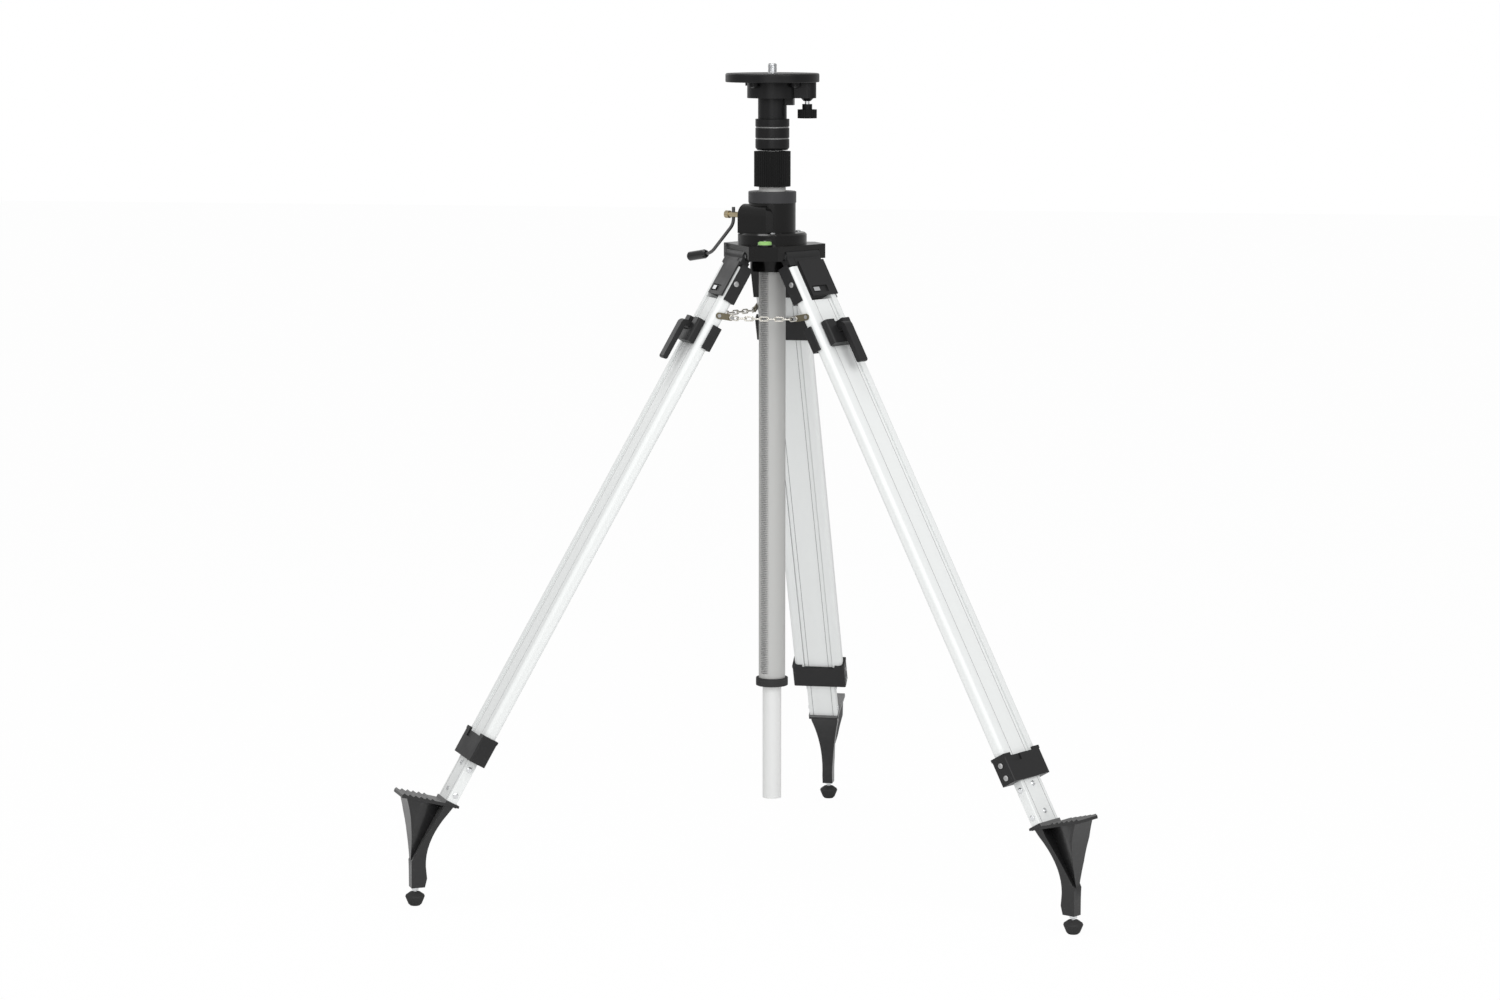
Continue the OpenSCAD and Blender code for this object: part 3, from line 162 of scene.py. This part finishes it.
finishes = {
    "black_casting": finish_of("black enamel", (0.0024, 0.0022, 0.0022), 0.3, coat=0.6, grain=500,
                               relief=0.05, specular=0.08),
    "grey_cap": finish_of("satin grey", (0.030, 0.030, 0.032), 0.40, coat=0.08, specular=0.3),
    "black_anodised": finish_of("satin black", (0.0075, 0.0075, 0.008), 0.34, grain=1200, specular=0.2),
    "black_knurl": finish_of("moulded black", (0.0035, 0.0035, 0.0035), 0.44, grain=1500, specular=0.15),
    "bright_steel": finish_of("bright steel", (0.72, 0.73, 0.74), 0.24, metallic=1.0, relief=0.08),
    "screw_steel": finish_of("screw steel", (0.46, 0.46, 0.46), 0.34, metallic=1.0, relief=0.08),
    "bronze_plate": finish_of("olive plate", (0.17, 0.15, 0.10), 0.38, metallic=0.75),
    "brass": finish_of("turned brass", (0.46, 0.39, 0.26), 0.30, metallic=1.0, relief=0.1),
    "black_rod": finish_of("black oxide", (0.016, 0.016, 0.017), 0.28, coat=0.4, relief=0.05, specular=0.4),
    "black_grip": finish_of("gloss black", (0.008, 0.008, 0.0085), 0.16, coat=0.4, relief=0.05, specular=0.3),
    "column_grey": finish_of("satin column", (0.47, 0.47, 0.46), 0.5, metallic=0.1, stretch=ALONG, relief=0,
                             specular=0.3),
    "mast_grey": finish_of("matte mast", (0.72, 0.725, 0.72), 0.48, metallic=0.1, stretch=ALONG, relief=0),
    "collet_plastic": finish_of("natural collet", (0.62, 0.60, 0.54), 0.5),
    "dark_plastic": finish_of("satin plastic", (0.013, 0.013, 0.0135), 0.40, grain=1600, relief=0.25,
                              specular=0.3),
    "foot_black": finish_of("cast foot", (0.013, 0.013, 0.0135), 0.34, coat=0.3, grain=700, relief=0.2,
                            specular=0.3),
    # Lighter grey for the up-facing faces of the tread
    "tread_top_grey": finish_of("lighter tread top", (0.16, 0.16, 0.16), 0.4, metallic=0.5, relief=0.1),
    "worn_rod": finish_of("worn rod", (0.045, 0.045, 0.046), 0.22, coat=0.8, relief=0.05, specular=0.5),
    # Lighter grey painted into the adapter's grooves as a highlight
    "groove_highlight": finish_of("painted groove highlight", (0.20, 0.20, 0.20), 0.3, metallic=0.4, relief=0),
    "rack_shade": finish_of("rack in shade", (0.32, 0.32, 0.32), 0.5, relief=0),
    "seam_shade": finish_of("seam in shade", (0.36, 0.36, 0.365), 0.6, relief=0),
    "rubber": finish_of("rubber", (0.026, 0.026, 0.026), 0.72, grain=1300, relief=0.35, specular=0.3),
    "chain_nickel": finish_of("nickel", (0.66, 0.64, 0.59), 0.27, metallic=1.0, relief=0.1),
    "vial_green": finish_of("green vial", (0.27, 0.52, 0.15), 0.08, coat=0.8, relief=0.02, wander=0.05),
}
leg_finishes = {
    key: finish_of(f"anodised leg {key}", (0.77, 0.785, 0.78), 0.5, metallic=0.04, grain=1500, specular=0.3,
                   stretch=ALONG, turn=leg_turn(azimuth), relief=0, wander=0.03)
    for key, azimuth in LEGS.items()
}


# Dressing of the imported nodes

SMOOTH = math.radians(32)
COPLANAR = math.radians(0.5)
SAME_POINT = 1e-6
STRAIGHT = {"leg_rails", "lower_leg"}
BEVELS = {
    "crown": 1.6, "gear_housing": 2.2, "housing_cap": 0.5, "head_base": 0.7, "mast_adapter": 0.5,
    "stop_ring": 1.2, "clamp_collar": 0.25, "drive_knob": 0.3, "crank_shaft": 0.4,
    "hinge_bracket": 0.9, "lower_collar": 1.0, "clamp_block": 0.9, "clamp_yoke": 0.8,
    "clamp_lever": 1.1, "foot": 0.9,
}


def family(node):
    """The node's name without its leg."""
    for key in LEGS:
        node = node.removesuffix(f"_{key}")
    return node


def soften(obj, width):
    """Rounds a piece's sharp edges with modifiers, leaving its own mesh as it is."""
    weld = obj.modifiers.new("weld", "WELD")
    weld.merge_threshold = SAME_POINT
    flat = obj.modifiers.new("flat faces", "DECIMATE")
    flat.decimate_type = "DISSOLVE"
    flat.angle_limit = COPLANAR
    bevel = obj.modifiers.new("edges", "BEVEL")
    bevel.width = width * MM
    bevel.segments = 2
    bevel.limit_method = "ANGLE"
    bevel.angle_limit = SMOOTH
    bevel.use_clamp_overlap = True
    normals = obj.modifiers.new("flat shading", "WEIGHTED_NORMAL")
    normals.keep_sharp = True


def paint(obj, material):
    """One finish all over a piece."""
    obj.data.materials.clear()
    obj.data.materials.append(material)


def leg_of(node):
    """The leg that a node's name ends in, or None."""
    return next((key for key in LEGS if node.endswith(f"_{key}")), None)


for row in frame["record"]["subparts"]:
    node = row["node"]
    obj = NODES[node]
    slot = row["material_slot"]
    if slot == "leg_aluminium":
        paint(obj, leg_finishes[leg_of(node)])
    else:
        paint(obj, finishes[slot])
    if family(node) in BEVELS:
        soften(obj, BEVELS[family(node)])


# Finishes that differ within a node

HINGE = (60.0 * MM, -307.7 * MM)
LEG_HALF = 45.0 * MM
EYE_AT, EYE_ROOM, EYE_PLATE = 112.0 * MM, 32.0 * MM, 2.05 * MM
SEAM_AT, SEAM_HALF = 18.65 * MM, 0.6 * MM
TREAD_SLOPE, TREAD_BELOW = 0.3, 1090.0 * MM
FLANK_SLOPE = (0.3, 0.97)
GROOVE_R, GROOVE_MARGIN = (27.6 * MM, 28.7 * MM), 6.0 * MM


def on_leg(point, azimuth):
    """A point as distance across a leg and down along it from the hinge."""
    a = math.radians(azimuth)
    radial = point.x * math.cos(a) + point.y * math.sin(a) - HINGE[0]
    drop = HINGE[1] - point.z
    across = point.y * math.cos(a) - point.x * math.sin(a)
    along = radial * math.sin(SPREAD) + drop * math.cos(SPREAD)
    return across, along


def repaint(node, material, wanted):
    """Gives a second finish to those faces of a node that wanted() picks."""
    mesh = NODES[node].data
    mesh.materials.append(material)
    last = len(mesh.materials) - 1
    for polygon in mesh.polygons:
        if wanted(polygon):
            polygon.material_index = last


for key, azimuth in LEGS.items():
    def is_screw(polygon, azimuth=azimuth):
        """Any fastener but the plate of the chain's eye."""
        across, along = on_leg(polygon.center, azimuth)
        return abs(along - EYE_AT) > EYE_ROOM or abs(across) - LEG_HALF > EYE_PLATE

    def is_seam(polygon, azimuth=azimuth):
        """Inside of the grooves along the lower section."""
        across, _ = on_leg(polygon.center, azimuth)
        return abs(abs(across) - SEAM_AT) < SEAM_HALF

    def is_tread(polygon, azimuth=azimuth):
        """Top of the tread plate with its teeth."""
        _, along = on_leg(polygon.center, azimuth)
        return polygon.normal.z > TREAD_SLOPE and along < TREAD_BELOW

    repaint(f"leg_fasteners_{key}", finishes["screw_steel"], is_screw)
    repaint(f"lower_leg_{key}", finishes["seam_shade"], is_seam)
    # The up-facing faces of each tread are painted a lighter grey
    repaint(f"foot_{key}", finishes["tread_top_grey"], is_tread)
paint(NODES["head_screws"], finishes["black_rod"])
paint(NODES["crank_arm"], finishes["worn_rod"])


def is_flank(polygon):
    """Slanted side of a rack tooth."""
    return FLANK_SLOPE[0] < abs(polygon.normal.z) < FLANK_SLOPE[1]


def is_groove(polygon):
    """Bottom or side of a groove round the mast's adapter."""
    low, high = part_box("mast_adapter")
    centre = polygon.center
    inside = low.z + GROOVE_MARGIN < centre.z < high.z - GROOVE_MARGIN
    return inside and GROOVE_R[0] < math.hypot(centre.x, centre.y) < GROOVE_R[1]


repaint("outer_column", finishes["rack_shade"], is_flank)
# The grooves of the mast's adapter get a painted highlight
repaint("mast_adapter", finishes["groove_highlight"], is_groove)


# Detail pieces

def piece(name, mesh_data, material, body):
    """A mesh piece in the shared frame that rides on a body."""
    mesh = bpy.data.meshes.new(name)
    mesh_data.to_mesh(mesh)
    mesh_data.free()
    mesh.materials.append(material)
    for polygon in mesh.polygons:
        polygon.use_smooth = True
    obj = bpy.data.objects.new(name, mesh)
    bpy.context.collection.objects.link(obj)
    if body:
        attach(obj, body)
    return obj


def lathe(profile, sides, centre=(0, 0, 0), radius_at=None):
    """Closed body of revolution about Z from (radius, height) pairs; radius_at may vary it round the axis."""
    made = bmesh.new()
    rings = []
    for r, z in profile:
        ring = []
        for i in range(sides):
            a = 2 * math.pi * i / sides
            rr = radius_at(r, a, z) if radius_at else r
            x = centre[0] + rr * math.cos(a)
            y = centre[1] + rr * math.sin(a)
            ring.append(made.verts.new((x, y, centre[2] + z)))
        rings.append(ring)
    for low, high in zip(rings, rings[1:]):
        for i in range(sides):
            k = (i + 1) % sides
            made.faces.new((low[i], low[k], high[k], high[i]))
    made.faces.new(rings[0][::-1])
    made.faces.new(rings[-1])
    return made


def threaded_stud():
    """The stud with its right-hand thread cut, in place of the plain cylinder."""
    low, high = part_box("instrument_stud")
    crest = 15.875 * MM / 2
    depth = 1.35 * MM
    pitch = 25.4 * MM / 11
    runout, blunt = 1.5 * MM, 0.9
    steps, sides = 9, 48
    shank = crest - 1.0 * MM
    tail_r, tail_top = 5.0 * MM, -36.7 * MM
    lead_in, edge_h = 0.3 * MM, 0.1 * MM
    top = high.z

    def radius(r, angle, z):
        if z < 0 or r < crest - edge_h:
            return r
        phase = (z / pitch - angle / (2 * math.pi)) % 1
        cut = depth * abs(2 * phase - 1)
        edge = min(1.0, max(0.0, (top - z) / runout))
        return r - cut - (1 - edge) * runout * blunt

    count = round((top + lead_in) / pitch * steps)
    levels = [(top + lead_in) * i / count - lead_in for i in range(count + 1)]
    profile = [(tail_r, low.z), (tail_r, tail_top), (shank, tail_top + edge_h)]
    profile += [(shank, -lead_in - edge_h / 2)] + [(crest, z) for z in levels]
    made = lathe(profile, sides, radius_at=radius)
    stud = piece("threaded_stud", made, finishes["bright_steel"], "stud")
    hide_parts("instrument_stud")


def vial_parts():
    """Base ring, sighting circle and bubble of the round vial."""
    low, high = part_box("bubble_vial")
    centre = ((low.x + high.x) / 2, (low.y + high.y) / 2, 0)
    r = (high.x - low.x) / 2
    seat, rim_w, rim_h, rim_edge = 0.02 * MM, 1.1 * MM, 3.0 * MM, 0.6 * MM
    rim = [
        (r - seat, low.z), (r + rim_w, low.z), (r + rim_w, low.z + rim_h - rim_edge),
        (r + rim_w - rim_edge, low.z + rim_h), (r - seat, low.z + rim_h),
    ]
    piece("vial_rim", lathe(rim, 64, centre), finishes["black_casting"], "crown")
    face = high.z
    line, sunk, proud = (3.6 * MM, 4.1 * MM), 0.1 * MM, 0.04 * MM
    under, over = face - sunk, face + proud
    circle = [(line[0], under), (line[1], under), (line[1], over), (line[0], over)]
    piece("vial_circle", lathe(circle, 48, centre), finishes["black_rod"], "crown")
    bubble_r, bubble_rise = 2.8 * MM, 0.35 * MM
    slopes = [math.radians(10 * i) for i in range(9)]
    dome = [(bubble_r * math.cos(a), face + bubble_rise * math.sin(a)) for a in slopes]
    bubble = lathe([(bubble_r, face - sunk)] + dome, 32, centre)
    piece("vial_bubble", bubble, finishes["collet_plastic"], "crown")


def half_chains():
    """Each chain split in two halves, one on the side of each leg it runs between."""
    still, eye_room, middle_room = 0.01, 0.012, 1e-4
    for name, ends in CHAINS.items():
        source = NODES[name]
        whole = bmesh.new()
        whole.from_mesh(source.data)
        bmesh.ops.remove_doubles(whole, verts=whole.verts, dist=SAME_POINT)
        whole.verts.index_update()
        low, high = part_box(name)
        middle = (low + high) / 2
        ways = [math.radians(LEGS[key]) for key in ends]
        run = [math.cos(ways[1]) - math.cos(ways[0]), math.sin(ways[1]) - math.sin(ways[0]), 0]
        across = Vector(run).normalized()
        seen = set()
        halves = {key: set() for key in ends}
        for seed in whole.verts:
            if seed in seen:
                continue
            island, todo = set(), [seed]
            while todo:
                vert = todo.pop()
                if vert in island:
                    continue
                island.add(vert)
                todo += [edge.other_vert(vert) for edge in vert.link_edges]
            seen |= island
            place = sum((v.co for v in island), Vector()) / len(island)
            side = ends[1] if (place - middle).dot(across) > middle_room else ends[0]
            halves[side] |= {v.index for v in island}
        for key, sign in zip(ends, (-1, 1)):
            part = whole.copy()
            part.verts.ensure_lookup_table()
            others = [v for v in part.verts if v.index not in halves[key]]
            bmesh.ops.delete(part, geom=others, context="VERTS")
            half = piece(f"{name}_{key}", part, finishes["chain_nickel"], None)
            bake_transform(half)
            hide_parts(name)
        whole.free()


def from_leg(out, across, along, azimuth):
    """The point in the shared frame at a place on a leg."""
    a = math.radians(azimuth)
    radial = HINGE[0] + along * math.sin(SPREAD) + out * math.cos(SPREAD)
    z = HINGE[1] - along * math.cos(SPREAD) + out * math.sin(SPREAD)
    x = radial * math.cos(a) - across * math.sin(a)
    y = radial * math.sin(a) + across * math.cos(a)
    return Vector((x, y, z))


def leg_plate(name, azimuth, low, high, material, body):
    """A small block on a leg, between two corners given as out, across and along."""
    made = bmesh.new()
    corners = [
        made.verts.new(from_leg(out, across, along, azimuth))
        for along in (low[2], high[2]) for across in (low[1], high[1]) for out in (low[0], high[0])
    ]
    for loop in ((0, 1, 3, 2), (4, 6, 7, 5), (0, 4, 5, 1), (2, 3, 7, 6), (0, 2, 6, 4), (1, 5, 7, 3)):
        made.faces.new([corners[i] for i in loop])
    bmesh.ops.recalc_face_normals(made, faces=made.faces)
    plate = piece(name, made, material, body)
    for polygon in plate.data.polygons:
        polygon.use_smooth = False
    return plate


def catch_plates():
    """Bright catch in the notch of each hinge bracket."""
    low, high = (9.5 * MM, -12.6 * MM, 64.4 * MM), (9.9 * MM, 2.6 * MM, 71.6 * MM)
    for key, azimuth in LEGS.items():
        leg_plate(f"catch_{key}", azimuth, low, high, finishes["bright_steel"], f"leg_{key}")


def foot_nuts():
    """Lock nut on each foot's stud, under the casting."""
    nut_r, nut_h, edge, gap = 6.4 * MM, 4.2 * MM, 0.5 * MM, 0.15 * MM
    face_r = nut_r * 0.9
    foot_clear = 31.0 * MM
    for key in LEGS:
        low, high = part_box(f"foot_pad_{key}")
        centre = ((low.x + high.x) / 2, (low.y + high.y) / 2, 0)
        top = low.z + foot_clear - gap
        profile = [(face_r, top - nut_h), (nut_r, top - nut_h + edge), (nut_r, top - edge), (face_r, top)]
        made = lathe(profile, 6, centre)
        nut = piece(f"foot_nut_{key}", made, finishes["bright_steel"], f"lower_{key}")
        for polygon in nut.data.polygons:
            polygon.use_smooth = False


def mast_plug():
    """Plastic plug in the foot of the mast's tube."""
    low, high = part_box("inner_column")
    wall, dish, lip, plug_h = 2.2 * MM, 1.2 * MM, 0.4 * MM, 12 * MM
    bore = (high.x - low.x) / 2 - wall
    profile = [(bore * 0.6, low.z + dish), (bore, low.z + lip), (bore, low.z + plug_h)]
    piece("mast_plug", lathe(profile, 48), finishes["rubber"], "mast")


threaded_stud()
vial_parts()
half_chains()
catch_plates()
foot_nuts()
mast_plug()


def shade_flat(obj):
    """Each face by itself, for long straight sections."""
    for polygon in obj.data.polygons:
        polygon.use_smooth = False


def shade_by_angle(obj):
    """Smooth faces with sharp edges kept."""
    for polygon in obj.data.polygons:
        polygon.use_smooth = True
    obj.data.set_sharp_from_angle(angle=SMOOTH)


for name, obj in NODES.items():
    if family(name) in STRAIGHT:
        shade_flat(obj)
    else:
        shade_by_angle(obj)


# Floor, light and camera

FLOOR_Z = cad_box[0].z
FLOOR_SIZE, FLOOR_GREY, FLOOR_ROUGH = 40, 0.9, 0.7
GLOW_SHARE = 0.97
WORLD_LIGHT, WORLD_SEEN = 0.55, 1.0
WHITE = (1, 1, 1, 1)


def white_stage():
    """Pale floor that keeps a soft shadow, and a white world behind it."""
    bpy.ops.mesh.primitive_plane_add(size=FLOOR_SIZE, location=(0, 0, FLOOR_Z))
    floor = bpy.context.object
    floor.name = "floor"
    material, tree, shader = new_material("pale floor")
    material.cycles.emission_sampling = "NONE"
    shader.inputs["Base Color"].default_value = (FLOOR_GREY, FLOOR_GREY, FLOOR_GREY, 1)
    shader.inputs["Roughness"].default_value = FLOOR_ROUGH
    glow = tree.nodes.new("ShaderNodeEmission")
    glow.inputs["Strength"].default_value = 1.0
    rays = tree.nodes.new("ShaderNodeLightPath")
    share = tree.nodes.new("ShaderNodeMath")
    share.operation = "MULTIPLY"
    share.inputs[1].default_value = GLOW_SHARE
    mix = tree.nodes.new("ShaderNodeMixShader")
    tree.links.new(rays.outputs["Is Camera Ray"], share.inputs[0])
    tree.links.new(share.outputs[0], mix.inputs["Fac"])
    tree.links.new(shader.outputs["BSDF"], mix.inputs[1])
    tree.links.new(glow.outputs["Emission"], mix.inputs[2])
    tree.links.new(mix.outputs["Shader"], tree.nodes["Material Output"].inputs["Surface"])
    paint(floor, material)

    world = bpy.data.worlds.new("white studio")
    bpy.context.scene.world = world
    world.use_nodes = True
    tree = world.node_tree
    light = tree.nodes["Background"]
    light.inputs["Strength"].default_value = WORLD_LIGHT
    seen = tree.nodes.new("ShaderNodeBackground")
    seen.inputs["Strength"].default_value = WORLD_SEEN
    for shade in (light, seen):
        shade.inputs["Color"].default_value = WHITE
    rays = tree.nodes.new("ShaderNodeLightPath")
    mix = tree.nodes.new("ShaderNodeMixShader")
    tree.links.new(rays.outputs["Is Camera Ray"], mix.inputs["Fac"])
    tree.links.new(light.outputs["Background"], mix.inputs[1])
    tree.links.new(seen.outputs["Background"], mix.inputs[2])
    tree.links.new(mix.outputs["Shader"], tree.nodes["World Output"].inputs["Surface"])


def softbox(name, place, target, size, power):
    """A square area light aimed at a point."""
    lamp = bpy.data.lights.new(name, "AREA")
    lamp.size = size
    lamp.energy = power
    obj = bpy.data.objects.new(name, lamp)
    obj.location = place
    obj.rotation_euler = (Vector(target) - Vector(place)).to_track_quat("-Z", "Y").to_euler()
    bpy.context.collection.objects.link(obj)


# Place, target, size in m and power in W of each light
SOFTBOXES = {
    "key": ((2.4, -2.8, 1.5), (0, 0, -0.6), 2.2, 60),
    "fill": ((-2.6, -2.4, 1.3), (0, 0, -0.7), 2.2, 22),
    "front": ((0.3, -4.2, 0.9), (0, 0, -0.9), 2.6, 42),
    "back": ((-2.3, 2.4, 0.9), (0, 0, -0.5), 2.0, 8),
    "top": ((-0.3, -0.15, 1.8), (0, 0, -0.3), 1.0, 16),
}
CAMERA_PLACE = (1.0855, -6.3138, 0.1379)
CAMERA_TILT, CAMERA_PAN = math.radians(82.265), math.radians(10.096)
SENSOR_W, LENS, CLIP_END = 36, 89.9, 200

white_stage()
for name, (place, target, size, power) in SOFTBOXES.items():
    softbox(name, place, target, size, power)

camera = bpy.data.objects.new("camera", bpy.data.cameras.new("camera"))
camera.location = CAMERA_PLACE
camera.rotation_euler = (CAMERA_TILT, 0, CAMERA_PAN)
camera.data.sensor_width = SENSOR_W
camera.data.lens = LENS
camera.data.clip_end = CLIP_END
bpy.context.collection.objects.link(camera)
bpy.context.scene.camera = camera
bpy.context.scene.view_settings.view_transform = "Standard"
